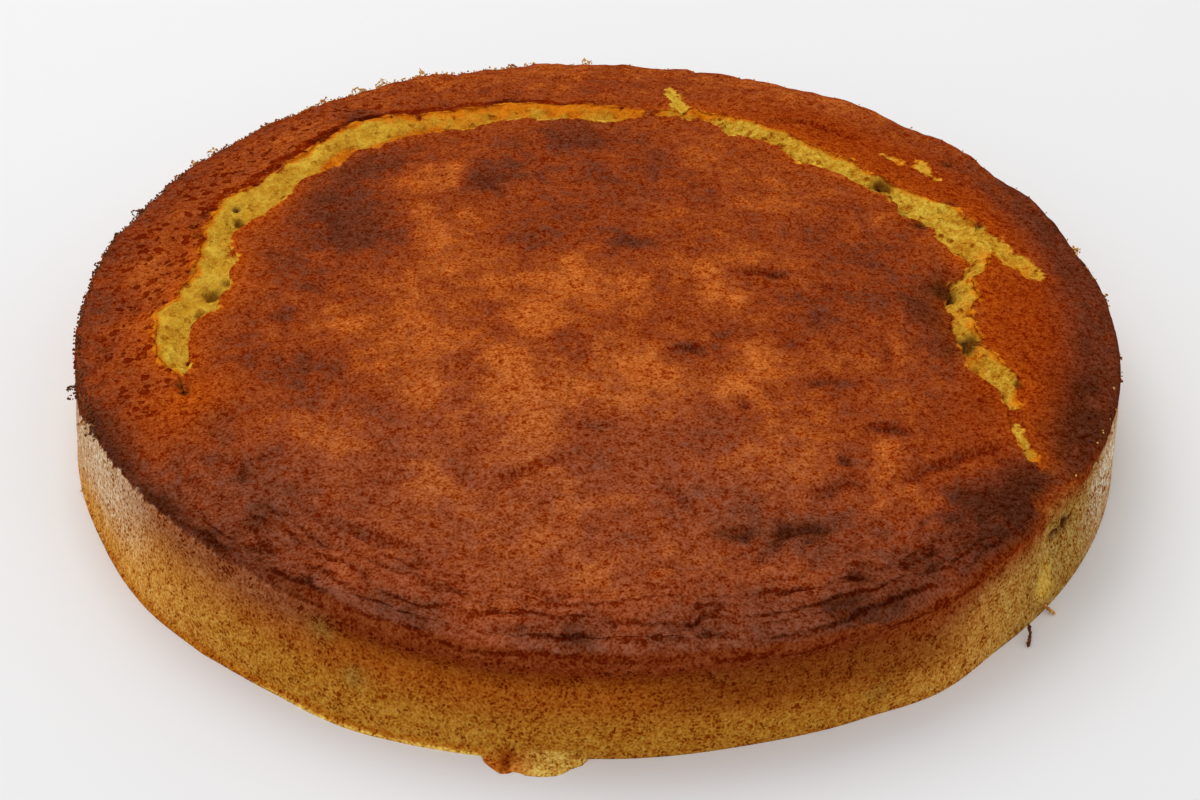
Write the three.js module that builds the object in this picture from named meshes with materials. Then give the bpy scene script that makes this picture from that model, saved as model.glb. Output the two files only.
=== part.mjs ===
// A round chestnut sponge cake, turned out of its tin and left whole. It is one solid: a flat base, a
// slightly tapered side, a rounded shoulder where the crust rolls over the edge, and a low crown that has
// split open in a long ring as it rose. Millimetres, +Z up, origin at the middle of the flat base.

import * as THREE from "three";
import { ParametricGeometry } from "three/addons/geometries/ParametricGeometry.js";
import { mergeVertices } from "three/addons/utils/BufferGeometryUtils.js";

// Driving dimensions of the whole cake.
const BASE_RADIUS = 130;
const RIM_RADIUS = 128.7;
const RIM_HEIGHT = 28;
const CROWN_HEIGHT = 37;
const CROWN_FULLNESS = 2.6;

// The shoulder is tight all round, and soft over the front, where the crust hangs over the side a little.
const TIGHT_SHOULDER = 2.6;
const SOFT_SHOULDER = 6.2;
const SHOULDER_START = THREE.MathUtils.degToRad(79);
const FRONT_ANGLE = 271;
const FRONT_INNER_REACH = 36;
const FRONT_OUTER_REACH = 54;
const LIP_OVERHANG = 0.8;
const LIP_DROP = 3;

// The foot wanders in and out: [angle in degrees, offset from the base radius].
const FOOT_WANDER = [
  [205, 0.4],
  [221, 1.8],
  [236, 1],
  [247, 2.6],
  [257, 1.9],
  [271, 0],
  [286, -0.7],
  [297, 0],
  [306, 1.6],
  [316, -0.2],
  [346, 0],
];

// Batter that leaked out under the front of the tin and baked into a thin tongue.
const LEAK_ANGLE = 265;
const LEAK_HALF_ANGLE = 5;
const LEAK_REACH = 5;
const LEAK_THICKNESS = 1.4;

// A torn patch on the right of the side, where the crust stuck to the tin.
const TEAR_ANGLE = 333;
const TEAR_HALF_ANGLE = 15;
const TEAR_DEPTH = 2;
const TEAR_LOW = 3;
const TEAR_HIGH = 27;
const TEAR_FADE = 5;
const TEAR_RAGGED = 0.25;
const TEAR_RAGS_ROUND = 37;

// The split in the crust: [angle in degrees, radius of its middle, width across].
const SPLIT = [
  [-33, 120, 0],
  [-30, 115.5, 4.5],
  [-27, 110.2, 3.2],
  [-24, 107.3, 2.9],
  [-21, 104.5, 4.4],
  [-18, 98.9, 11],
  [-14, 93.8, 9],
  [-10, 91.5, 6.5],
  [-6, 88.7, 6.4],
  [-2, 89, 5],
  [2, 90.8, 8],
  [6, 90.8, 5.5],
  [8.5, 94, 4.2],
  [10.5, 97.5, 4.6],
  [14, 98, 11],
  [18, 97, 12.5],
  [22, 98, 16],
  [26, 95.4, 16],
  [30, 93.8, 10],
  [38, 89.4, 8.5],
  [46, 88.2, 7.8],
  [50, 87.6, 9.2],
  [58, 88.8, 9],
  [66, 89.2, 8.6],
  [70, 92, 8.5],
  [74, 94, 6.5],
  [78, 92.5, 4],
  [82, 90, 3],
  [85, 88.5, 4.5],
  [90, 87, 9.4],
  [98, 89, 10.5],
  [107, 92.4, 11],
  [114, 92.2, 10.5],
  [119, 95.5, 11],
  [127, 98, 15],
  [131, 98.6, 14],
  [135, 98, 11],
  [142, 97, 12],
  [147, 98.5, 9.5],
  [151, 97, 10.5],
  [157, 100.2, 14],
  [162, 100.2, 10.5],
  [166, 100.5, 7],
  [174, 96.8, 9.5],
  [179, 96.8, 9.5],
  [182, 97.8, 12],
  [186, 101.4, 14.5],
  [190, 105, 8.5],
  [195, 105.3, 6.5],
  [202, 104.4, 2.4],
  [205.5, 106, 0],
];
const CLOSED_HALF_WIDTH = 1;
const SPLIT_DEPTH_SHARE = 0.3;
const SPLIT_MAX_DEPTH = 3.2;
const SPLIT_OPEN_WIDTH = 4;
const LIP_RISE = 0.7;
const LIP_FADE = 4;

// The crown sags beside the split on the right, so its lip lies lower there.
const SAG_ANGLE = -2;
const SAG_HALF_ANGLE = 13;
const SAG_DEPTH = 2.4;
const SAG_INNER_FADE = 6;
const SAG_OUTER_FADE = 2;

// Shares of the way across the split, from its outer lip: where the broken crust ends, where the torn crumb
// is deepest and where the wall under the inner lip starts. The crust's step is a share of the depth.
const CRUST_END = 0.12;
const DEEPEST = 0.78;
const INNER_WALL = 0.86;
const CRUST_STEP = 0.3;

// Low relief of the crust: slow swells all over, and rings of wrinkles round the front.
const SWELL_HEIGHT = 0.5;
const SWELL_LENGTH = 52;
const SWELL_BEND = 0.6;
const WRINKLE_HEIGHT = 0.35;
const WRINKLE_LENGTH = 6.5;
const WRINKLE_INNER_RADIUS = 92;
const WRINKLE_WANDERS = [
  { reach: 2, turns: 5 },
  { reach: 1.2, turns: 13 },
];

// How finely the solid is faceted: steps round the cake, and along the profile of each zone.
const STEPS_ROUND = 128;
const BASE_STEPS = 1;
const SIDE_STEPS = 9;
const SIDE_CROWDING = 1.5;
const SHOULDER_STEPS = 4;
const RING_STEPS = 8;
const SPLIT_STEPS = 8;
const CROWN_STEPS = 10;

const CRUST = new THREE.MeshStandardMaterial({ color: 0x8c451d, roughness: 0.7, metalness: 0 });

const { clamp, lerp, smoothstep, degToRad, radToDeg } = THREE.MathUtils;

// The signed turn from one angle to another, in degrees from -180 to 180.
function turnFrom(angle, other) {
  return THREE.MathUtils.euclideanModulo(angle - other + 180, 360) - 180;
}

// A value read along a table of rows that start with an angle, eased between rows and round the back.
function along(table, column, degrees) {
  const first = table[0];
  const last = table[table.length - 1];
  const angle = first[0] + THREE.MathUtils.euclideanModulo(degrees - first[0], 360);
  const after = table.findIndex((row) => row[0] > angle);
  const low = after < 0 ? last : table[after - 1];
  const high = after < 0 ? [first[0] + 360, ...first.slice(1)] : table[after];
  return lerp(low[column], high[column], smoothstep(angle, low[0], high[0]));
}

// 1 round the front of the cake and 0 elsewhere.
function frontShare(degrees) {
  return 1 - smoothstep(Math.abs(turnFrom(degrees, FRONT_ANGLE)), FRONT_INNER_REACH, FRONT_OUTER_REACH);
}

function shoulderRadius(degrees) {
  return lerp(TIGHT_SHOULDER, SOFT_SHOULDER, frontShare(degrees));
}

// Where the crown ends and the shoulder's arc begins.
function shoulderStart(degrees) {
  return RIM_RADIUS - shoulderRadius(degrees) * (1 - Math.cos(SHOULDER_START));
}

function split(degrees) {
  const radius = along(SPLIT, 1, degrees);
  const width = along(SPLIT, 2, degrees);
  const halfWidth = Math.max(width / 2, CLOSED_HALF_WIDTH);
  return {
    inner: radius - halfWidth,
    outer: radius + halfWidth,
    depth: Math.min(SPLIT_DEPTH_SHARE * width, SPLIT_MAX_DEPTH),
    open: smoothstep(width, 0, SPLIT_OPEN_WIDTH),
  };
}

// The lips of the split curl up a little and fall away to each side of it.
function lipRise(radius, degrees) {
  const { inner, outer, open } = split(degrees);
  const away = Math.max(inner - radius, radius - outer, 0);
  return LIP_RISE * open * Math.exp(-away / LIP_FADE);
}

// The sag of the crown, deepest at the split's inner lip.
function sag(radius, degrees) {
  const across = turnFrom(degrees, SAG_ANGLE) / SAG_HALF_ANGLE;
  const past = radius - split(degrees).inner;
  const fade = past > 0 ? SAG_OUTER_FADE : SAG_INNER_FADE;
  return SAG_DEPTH * Math.exp(-(across ** 2) - Math.abs(past) / fade);
}

function swell(radius, degrees) {
  const x = (2 * Math.PI * radius * Math.cos(degToRad(degrees))) / SWELL_LENGTH;
  const y = (2 * Math.PI * radius * Math.sin(degToRad(degrees))) / SWELL_LENGTH;
  return SWELL_HEIGHT * Math.sin(x + SWELL_BEND * Math.sin(y)) * Math.cos(y);
}

// Rings of wrinkles, wandering in radius, that grow towards the front rim.
function wrinkle(radius, degrees) {
  const reach = smoothstep(radius, WRINKLE_INNER_RADIUS, RIM_RADIUS) * frontShare(degrees);
  const wander = WRINKLE_WANDERS.reduce((sum, w) => sum + w.reach * Math.sin(degToRad(w.turns * degrees)), 0);
  return WRINKLE_HEIGHT * reach * Math.sin((2 * Math.PI * (radius + wander)) / WRINKLE_LENGTH);
}

// Height of the crust: a full crown, with its swells, wrinkles, curled lips and sag.
function crustHeight(radius, degrees) {
  const fall = (radius / RIM_RADIUS) ** CROWN_FULLNESS;
  const crown = lerp(CROWN_HEIGHT, RIM_HEIGHT, fall);
  const lips = lipRise(radius, degrees) - sag(radius, degrees);
  return crown + swell(radius, degrees) + wrinkle(radius, degrees) + lips;
}

// Height at which the shoulder's arc has turned down into the side.
function shoulderFoot(degrees) {
  const drop = shoulderRadius(degrees) * Math.sin(SHOULDER_START);
  return crustHeight(shoulderStart(degrees), degrees) - drop;
}

// How far the torn patch eats into the side, ragged from place to place.
function tearDepth(height, degrees) {
  const across = Math.abs(turnFrom(degrees, TEAR_ANGLE)) / TEAR_HALF_ANGLE;
  const above = smoothstep(height, TEAR_LOW, TEAR_LOW + TEAR_FADE);
  const below = 1 - smoothstep(height, TEAR_HIGH - TEAR_FADE, TEAR_HIGH);
  const ragged = 1 - TEAR_RAGGED * (1 - Math.sin(degToRad(TEAR_RAGS_ROUND * degrees) + height));
  return TEAR_DEPTH * above * below * ragged * (1 - smoothstep(across, 0.4, 1));
}

// The tongue of leaked batter: round-ended in plan, thin and round-edged in height.
function leakReach(height, degrees) {
  const across = turnFrom(degrees, LEAK_ANGLE) / LEAK_HALF_ANGLE;
  const plan = Math.sqrt(Math.max(0, 1 - across ** 2));
  const edge = Math.sqrt(Math.max(0, 1 - (height / LEAK_THICKNESS) ** 2));
  return LEAK_REACH * plan * edge;
}

// Radius of the side at a height: the taper, the wandering foot, the undercut below the lip, tear and leak.
function sideRadius(height, degrees) {
  const top = shoulderFoot(degrees);
  const foot = BASE_RADIUS + along(FOOT_WANDER, 1, degrees);
  const belowLip = (top - height) / LIP_DROP;
  const undercut = LIP_OVERHANG * frontShare(degrees) * Math.E * belowLip * Math.exp(-belowLip);
  const taper = lerp(foot, RIM_RADIUS, height / top);
  return taper - undercut - tearDepth(height, degrees) + leakReach(height, degrees);
}

// The zones of the profile, from the middle of the base round to the crown's top. Each gives [radius, height]
// at a share from 0 to 1 of its length.
function basePoint(degrees, share) {
  return [share * sideRadius(0, degrees), 0];
}

function sidePoint(degrees, share) {
  const height = shoulderFoot(degrees) * share ** SIDE_CROWDING;
  return [sideRadius(height, degrees), height];
}

function shoulderPoint(degrees, share) {
  const round = shoulderRadius(degrees);
  const angle = SHOULDER_START * share;
  const height = shoulderFoot(degrees) + round * Math.sin(angle);
  return [RIM_RADIUS - round * (1 - Math.cos(angle)) - tearDepth(height, degrees), height];
}

function ringPoint(degrees, share) {
  const radius = lerp(shoulderStart(degrees), split(degrees).outer, share);
  return [radius, crustHeight(radius, degrees)];
}

// Across the split from its outer lip: a step down through the crust, a slope of torn crumb down to the
// deepest place, and a steep wall up to the inner lip.
function splitPoint(degrees, share) {
  const { inner, outer, depth } = split(degrees);
  const step = CRUST_STEP * smoothstep(share, 0, CRUST_END);
  const slope = (1 - CRUST_STEP) * smoothstep(share, CRUST_END, DEEPEST);
  const wall = 1 - smoothstep(share, INNER_WALL, 1);
  const radius = lerp(outer, inner, share);
  return [radius, crustHeight(radius, degrees) - depth * (step + slope) * wall];
}

function crownPoint(degrees, share) {
  const radius = split(degrees).inner * (1 - share);
  return [radius, crustHeight(radius, degrees)];
}

const ZONES = [
  { steps: BASE_STEPS, point: basePoint },
  { steps: SIDE_STEPS, point: sidePoint },
  { steps: SHOULDER_STEPS, point: shoulderPoint },
  { steps: RING_STEPS, point: ringPoint },
  { steps: SPLIT_STEPS, point: splitPoint },
  { steps: CROWN_STEPS, point: crownPoint },
];
const PROFILE_STEPS = ZONES.reduce((sum, zone) => sum + zone.steps, 0);

// A point of the cake's surface: once round for u from 0 to 1, and along the profile for v from 0 to 1.
function cakeSurface(u, v, target) {
  const degrees = radToDeg(2 * Math.PI * (u % 1));
  let steps = clamp(v, 0, 1) * PROFILE_STEPS;
  let index = 0;
  while (index < ZONES.length - 1 && steps > ZONES[index].steps) {
    steps -= ZONES[index].steps;
    index += 1;
  }
  const [radius, height] = ZONES[index].point(degrees, Math.min(steps / ZONES[index].steps, 1));
  const angle = degToRad(degrees);
  target.set(radius * Math.cos(angle), radius * Math.sin(angle), height);
}

// The surface as one closed body, with its seam and its two poles merged.
function cakeGeometry() {
  const open = new ParametricGeometry(cakeSurface, STEPS_ROUND, PROFILE_STEPS);
  open.deleteAttribute("normal");
  open.deleteAttribute("uv");
  const closed = mergeVertices(open, 1e-3);
  const corners = closed.index.array;
  const kept = [];
  for (let i = 0; i < corners.length; i += 3) {
    const [a, b, c] = corners.slice(i, i + 3);
    if (a !== b && b !== c && c !== a) {
      kept.push(a, b, c);
    }
  }
  closed.setIndex(kept);
  closed.computeVertexNormals();
  return closed;
}

const cake = new THREE.Mesh(cakeGeometry(), CRUST);
cake.name = "cake";

const part = new THREE.Group();
part.add(cake);

export default part;
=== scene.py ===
import itertools
import math

import bpy
import numpy as np
from mathutils import Matrix, Vector


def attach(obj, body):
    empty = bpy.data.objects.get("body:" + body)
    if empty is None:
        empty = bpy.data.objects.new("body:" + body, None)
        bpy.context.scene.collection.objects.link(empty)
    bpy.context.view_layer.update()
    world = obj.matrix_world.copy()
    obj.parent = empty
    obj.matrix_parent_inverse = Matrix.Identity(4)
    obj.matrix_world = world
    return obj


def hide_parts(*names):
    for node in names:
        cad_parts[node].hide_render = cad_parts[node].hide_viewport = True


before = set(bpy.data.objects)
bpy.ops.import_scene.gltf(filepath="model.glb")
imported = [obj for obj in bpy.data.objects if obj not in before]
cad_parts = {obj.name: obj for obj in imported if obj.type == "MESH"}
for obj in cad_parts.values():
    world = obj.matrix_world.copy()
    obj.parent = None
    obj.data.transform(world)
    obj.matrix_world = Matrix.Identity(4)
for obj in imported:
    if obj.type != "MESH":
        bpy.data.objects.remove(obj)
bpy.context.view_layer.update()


# The cake: one round chestnut sponge, baked in a plain tin and turned out whole. The batter rose after its
# top had set, so the crust split open in a long ring and shows the yellow crumb. The side is what touched
# the tin: a thin porous golden skin under the dark crust that rolls over the rim.

MM = 0.001
BASE_RADIUS = 130.0
RIM_RADIUS = 128.7
RIM_HEIGHT = 28.0
CROWN_HEIGHT = 37.0
CROWN_FULLNESS = 2.6

TIGHT_SHOULDER = 2.6
SOFT_SHOULDER = 6.2
SHOULDER_START = math.radians(79)
FRONT_ANGLE = 271
FRONT_REACHES = (36, 54)
LIP_OVERHANG = 0.8
LIP_DROP = 3.0

# Where the foot wanders in and out: angle in degrees, offset from the base radius.
FOOT_WANDER = np.array([
    (205, 0.4), (221, 1.8), (236, 1.0), (247, 2.6), (257, 1.9), (271, 0), (286, -0.7), (297, 0),
    (306, 1.6), (316, -0.2), (346, 0),
])
# The lower edge of the dark crust: angle in degrees, and the way up to it over the surface from the foot.
CRUST_EDGE = np.array([
    (30, 25.6), (90, 26.0), (150, 21.0), (196, 20.0), (203, 26.8), (220, 27.8), (228, 27.8), (241, 26.8),
    (252, 25.2), (262, 24.3), (280, 24.2), (290, 23.4), (296, 22.4), (302, 21.4), (308, 21.2),
    (314, 24.2), (319, 24.4), (321.5, 26.0), (323.5, 29.2), (326.5, 28.8), (328.5, 27.5), (332, 25.0),
    (338, 25.0), (346, 25.0),
])
# How sharp that edge is: angle in degrees, sharpness.
EDGE_SHARPNESS = np.array([
    (200, 1.2), (225, 1.0), (245, 1.0), (275, 1.4), (292, 0.6), (305, 0.22), (330, 0.25), (345, 0.8),
])

# The hem along the foot and the frayed rim. Where a mark lies is three numbers: the angle that it faces, in
# degrees, then the cosines of the turn away from it where the mark is gone and where it is full.
HEM_REACH = 0.6
HEM_LEFT = (228, 0.75, 0.95)
FRAY_DEPTHS = (0.12, 0.47)
FRAYED_BACK = (150, 0.2, 0.8)

LEAK_ANGLE = 265
LEAK_HALF_ANGLE = 5
LEAK_REACH = 5.0
LEAK_THICKNESS = 1.4
LEAK_BLUNTNESS = 2.4
KNOB_BULGE = 1.5

TEAR_ANGLE = 333
TEAR_HALF_ANGLE = 15
TEAR_DEPTH = 1.6
TEAR_MEAN = 0.7
TEAR_LOW = 3.0
TEAR_HIGH = 27.5
TEAR_FADE = 5.0
# The gash in the torn patch: angle of its middle, then its two ends, along the side and up it.
GASH_ANGLE = 327.6
GASH = (-5.5, 19.3, 5.5, 16.8)
GASH_HALF_WIDTH = 1.3
GASH_DEPTH = 1.4

# Spots on the side, each an angle in degrees, height, half length and half height: the dark knob on the
# leak, the crumbling spot below the gash, and olive blotches.
KNOB = (262.3, 1.8, 1.7, 1.7)
CRUMBLE = (323.6, 8.5, 4.2, 5.2)
BLOTCHES = [(247, 13.0, 3.0, 3.0), (243, 21.0, 3.4, 3.4), (299, 6.0, 2.4, 2.4), (325.5, 22.5, 2.2, 2.2)]

# Lumps of the side: each a depth, a size along the side, a size up it and a seed.
WALL_RADIUS = 129
SIDE_LUMPS = ((0.16, 7, 5, 41), (0.12, 2.4, 2.2, 42))
SIDE_PITS = ((1.0, 2.3, 1.9, 43),)
SIDE_PIT_DEPTH = 0.7
TEAR_LUMPS = ((0.6, 4, 3, 44), (0.5, 2.6, 1.2, 45))
FRAY_LUMPS = ((1.0, 1.7, 1.5, 51),)

# Lumps seen from above: each a height, a size and a seed.
LEAK_LUMPS = ((0.3, 3, 46),)
HEM_LUMPS = ((0.3, 6, 47),)
INNER_LIP_LUMPS = ((1.1, 5, 11), (0.5, 2.4, 12))
OUTER_LIP_LUMPS = ((1.1, 5, 13), (0.5, 2.4, 14))
BRANCH_LUMPS = ((0.7, 2.2, 15),)
CRUST_LUMPS = ((0.5, 12, 31), (0.36, 5.5, 32), (0.2, 2.9, 33))
PUCKER_WANDER = ((2.0, 5, 34),)
CRUMB_LUMPS = ((0.7, 3.6, 61), (0.5, 1.8, 62))
CRUMB_PORES = ((1.0, 2.2, 63),)
CRUMB_PORE_DEPTH = 0.9

# The split: angle in degrees, radius of its middle, width across.
SPLIT = np.array([
    (-33, 120, 0), (-30, 115.5, 4.5), (-27, 110.2, 3.2), (-24, 107.3, 2.9), (-21, 104.5, 4.4),
    (-18, 98.9, 11), (-14, 93.8, 9), (-10, 91.5, 6.5), (-6, 88.7, 6.4), (-2, 89, 5), (2, 90.8, 8),
    (6, 90.8, 5.5), (8.5, 94, 4.2), (10.5, 97.5, 4.6), (14, 98, 11), (18, 97, 12.5), (22, 98, 16),
    (26, 95.4, 16), (30, 93.8, 10), (38, 89.4, 8.5), (46, 88.2, 7.8), (50, 87.6, 9.2), (58, 88.8, 9),
    (66, 89.2, 8.6), (70, 92, 8.5), (74, 94, 6.5), (78, 92.5, 4), (82, 90, 3), (85, 88.5, 4.5),
    (90, 87, 9.4), (98, 89, 10.5), (107, 92.4, 11), (114, 92.2, 10.5), (119, 95.5, 11), (127, 98, 15),
    (131, 98.6, 14), (135, 98, 11), (142, 97, 12), (147, 98.5, 9.5), (151, 97, 10.5), (157, 100.2, 14),
    (162, 100.2, 10.5), (166, 100.5, 7), (174, 96.8, 9.5), (179, 96.8, 9.5), (182, 97.8, 12),
    (186, 101.4, 14.5), (190, 105, 8.5), (195, 105.3, 6.5), (202, 104.4, 2.4), (205.5, 106, 0),
])
OPEN_WIDTHS = (0.3, 4.0)
LIP_RADIUS = 100
LIP_TEARING = (0.8, 1.6)
TORN_LIPS = (21, 0.5, 0.75)
# Side branches of the split: x and y of the root, of the tip, and the width at the root.
BRANCHES = [
    (92, 38, 110, 17.5, 10.0),
    (21.5, 92, 18.9, 107, 3.6),
    (76, 72.5, 80, 70, 2.4),
    (85.5, 69, 89, 64, 3.8),
]
BRANCH_TAPER = 0.7
BRANCH_DEPTH = 1.5
SPLIT_DEPTH_SHARE = 0.3
SPLIT_MAX_DEPTH = 3.2
CLOSED_HALF_WIDTH = 0.7
UNDERCUT = 0.8
LIP_RISE = 0.7
LIP_FADE = 4.0

SAG_ANGLE = -2
SAG_HALF_ANGLE = 13
SAG_DEPTH = 2.4
SAG_INNER_FADE = 6.0
SAG_OUTER_FADE = 2.0

# Creases in the crust: the depth, then x and y of the points along each, from left to right.
CREASES = [
    (0.9, (-65, -87), (-52, -93), (-44, -98), (-36, -103)),
    (1.0, (-23, -80), (-16, -76), (-5, -70)),
    (1.0, (37, -101), (42, -92), (52, -89)),
    (1.0, (47, -80), (52, -77.5), (60, -73)),
    (0.8, (25, -93), (32, -93), (36, -94)),
    (0.9, (61, -54), (67, -54.5), (75, -57)),
    (1.0, (66, -74), (81, -63.5), (95, -54.5)),
    (0.7, (-77, -91), (-69, -99)),
    (0.8, (54, -104), (61, -103)),
    (0.7, (14, -79), (18, -81), (23, -88)),
    (0.5, (-5, -94), (7, -87), (12, -86)),
    (0.8, (-84, -67), (-78, -76)),
    (0.8, (30, 8), (40, 7), (48, 5.5)),
    (0.4, (50, 2), (56, 0), (62, -1)),
    (0.8, (17, -27.5), (21, -28), (26, -29.5)),
    (0.6, (54.5, -21.5), (58.5, -27)),
    (0.5, (68.5, -18), (70, -34)),
    (0.6, (50, -39.5), (54.5, -37), (59, -41)),
    (0.4, (44, -20), (48, -27.5)),
    (0.5, (27.5, -20.5), (31.5, -23)),
    (1.0, (32.5, -49), (35.5, -47.5)),
    (1.0, (54.5, -68.5), (57.5, -66.5)),
    (0.8, (-77, -68.5), (-74, -70)),
    (0.8, (-51.5, -84), (-48.5, -84.5)),
    (0.9, (44, 91), (57, 89), (71, 83)),
]
CREASE_HALF_WIDTH = 1.2
CREASE_WANDER_SIZE = 4
# The soft fold behind a crease: its height by the crease's depth, its distance and its half width.
CREASE_SWELL = 1.0
CREASE_SWELL_OFFSET = 3.5
CREASE_SWELL_WIDTH = 3.2

# Small hollows beside and inside the split, sunk into the crust and painted with shade: x, y, radius and
# depth.
HOLLOWS = [
    (74, 55, 2.2, 2.2), (82.4, 35, 2.0, 1.2), (98, 38.6, 1.5, 1.2), (92.9, 71.5, 1.3, 1.2),
    (85.8, 6.5, 2.8, 1.8), (89.6, -16.8, 2.6, 1.8), (99.9, -32.6, 1.2, 1.2), (-98.4, -39.6, 1.3, 1.2),
    (-97, -42.4, 1.2, 1.2), (-94.9, 38.8, 1.1, 1.5), (-93.5, 33.3, 1.2, 1.5), (-95.4, -1.7, 2.0, 1.5),
    (-97, -10, 1.3, 1.5), (-104.4, 29.4, 1.3, 0.8), (-102.4, 34.2, 1.2, 0.8), (-103, 25, 1.2, 0.8),
    (92, 49, 2.0, 0.8), (85.4, -21.5, 2.4, 0.7), (-93, 3, 1.4, 0.7), (-102, 7, 1.4, 0.7),
    (78, 44, 1.8, 0.6),
]

SWELL_HEIGHT = 0.5
SWELL_LENGTH = 52
# The mean of the valleys is added back, so that wrinkles and puckers don't lower the crust.
VALLEY_MEAN = 0.5
WRINKLE_DEPTH = 1.0
WRINKLE_RADIUS = 118
WRINKLE_REACH = (72, 112)
WRINKLE_SPACING = 3.8
WRINKLE_LENGTH = 9
WRINKLE_WANDER = 2.4
WRINKLES_ELSEWHERE = 0.2
PUCKER_DEPTH = 0.7
PUCKER_SIZE = 9
PUCKER_PATCH_SIZE = 24

STEPS_ROUND = 640
BASE_SHARES = np.array([0.55, 0.985, 1.0])
FOOT_ROWS = np.array([0.3, 0.6, 0.95, 1.3, 1.7, 2.4])
SIDE_STEPS = 22
SHOULDER_STEPS = 10
RING_STEPS = 21
SPLIT_STEPS = 26
CROWN_STEPS = 68
CROWN_CROWDING = 1.3
# A distance in millimetres that counts as far off.
FAR = 60.0


def smooth(value, low, high):
    """0 below low, 1 above high, and an S of t*t*(3 - 2t) between them."""
    t = np.clip((value - low) / (high - low), 0, 1)
    return t * t * (3 - 2 * t)


def fading(value, low, high):
    """1 below low, 0 above high, and an S between them."""
    return 1 - smooth(value, low, high)


def lerp(a, b, share):
    """A value part of the way from a to b."""
    return a + (b - a) * share


def noise(x, y, z, seed):
    """Smooth noise from -1 to 1: a random value at each whole-number point, blended by S-shaped weights."""
    cells = [np.floor(a).astype(np.int64) for a in (x, y, z)]
    weights = [smooth(a - c, 0, 1) for a, c in zip((x, y, z), cells)]
    total = 0
    for corner in itertools.product((0, 1), repeat=3):
        i, j, k = (c + step for c, step in zip(cells, corner))
        key = (i * 73856093) ^ (j * 19349663) ^ (k * 83492791) ^ (seed * 2654435761)
        key = ((key ^ (key >> 13)) * 1274126177) & 0x7FFFFFFF
        key = (key ^ (key >> 15)) & 0xFFFF
        share = 1
        for weight, step in zip(weights, corner):
            share = share * (weight if step else 1 - weight)
        total = total + (key / 32767.5 - 1) * share
    return total


def flat_noise(x, y, size, seed):
    """The same noise on a plane, with lumps of a size in millimetres."""
    return noise(x / size, y / size, 0 * x, seed)


def lumps(x, y, rows):
    """Sum of noises on a plane: each row a height, a size and a seed."""
    return sum(height * flat_noise(x, y, size, seed) for height, size, seed in rows)


def wall_lumps(x, y, height, rows):
    """Sum of noises over the side: each row a depth, a size along the side, a size up it and a seed."""
    return sum(
        depth * noise(x / along, y / along, height / up, seed) for depth, along, up, seed in rows
    )


def turn_from(turn, other):
    """The signed turn between two angles, in degrees from -180 to 180."""
    return (turn - other + 180) % 360 - 180


def around(table, column, turn):
    """A column of a table read by its first column, an angle in degrees, eased between rows all round."""
    first = table[0, 0]
    angles = np.append(table[:, 0], first + 360)
    values = np.append(table[:, column], table[0, column])
    row = np.interp(first + (turn - first) % 360, angles, np.arange(len(angles)))
    low = np.minimum(row.astype(int), len(table) - 1)
    return lerp(values[low], values[low + 1], smooth(row - low, 0, 1))


def plan(radius, turn):
    """x and y of a point at a radius and an angle."""
    return radius * np.cos(np.radians(turn)), radius * np.sin(np.radians(turn))


def to_segment(x, y, row):
    """Distance from points to a straight line between two ends, and the share of the way along it."""
    x0, y0, x1, y1 = row[:4]
    length = math.hypot(x1 - x0, y1 - y0)
    share = np.clip(((x - x0) * (x1 - x0) + (y - y0) * (y1 - y0)) / length**2, 0, 1)
    return np.hypot(x - lerp(x0, x1, share), y - lerp(y0, y1, share)), share


def soft_spot(x, y, row):
    """A round spot seen from above: its strength * exp(-(distance / radius)^2)."""
    spot_x, spot_y, radius, strength = row
    return strength * np.exp(-((x - spot_x) ** 2 + (y - spot_y) ** 2) / radius**2)


def side_spot(height, turn, row):
    """A spot on the side, 1 in its middle: exp(-(along / half length)^2 - (up / half height)^2)."""
    angle, middle, half_length, half_height = row
    along = turn_from(turn, angle) * math.radians(RIM_RADIUS)
    return np.exp(-((along / half_length) ** 2) - ((height - middle) / half_height) ** 2)


def front_share(turn):
    """1 round the front of the cake and 0 elsewhere."""
    return fading(np.abs(turn_from(turn, FRONT_ANGLE)), *FRONT_REACHES)


def facing(turn, angle, low, high):
    """1 where the turn faces an angle, 0 away from it: an S of the cosine between them."""
    return smooth(np.cos(np.radians(turn - angle)), low, high)


def shoulder_radius(turn):
    """Radius of the rounded edge: tight at the back and sides, soft over the front."""
    return lerp(TIGHT_SHOULDER, SOFT_SHOULDER, front_share(turn))


def shoulder_start(turn):
    """Radius at which the crown passes into the rounded edge."""
    return RIM_RADIUS - shoulder_radius(turn) * (1 - math.cos(SHOULDER_START))


def split_at(turn):
    """Inner and outer lip of the split, torn, how far it is open, its width and its depth, by the table."""
    middle = around(SPLIT, 1, turn)
    width = around(SPLIT, 2, turn)
    x, y = plan(LIP_RADIUS, turn)
    open_share = smooth(width, *OPEN_WIDTHS)
    tearing = open_share * lerp(*LIP_TEARING, facing(turn, *TORN_LIPS))
    half = np.maximum(width / 2, CLOSED_HALF_WIDTH)
    inner = middle - half + tearing * lumps(x, y, INNER_LIP_LUMPS)
    outer = middle + half + tearing * lumps(x, y, OUTER_LIP_LUMPS)
    depth = np.minimum(SPLIT_DEPTH_SHARE * width, SPLIT_MAX_DEPTH)
    return inner, outer, open_share, width, depth


def branch_bareness(x, y):
    """How far inside a side branch of the split a point lies, in millimetres, negative outside."""
    inside = np.full(np.shape(x), -FAR)
    for row in BRANCHES:
        distance, share = to_segment(x, y, row)
        half = row[4] / 2 * np.sqrt(1 - BRANCH_TAPER * share)
        inside = np.maximum(inside, half - distance)
    return inside + lumps(x, y, BRANCH_LUMPS)


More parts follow.
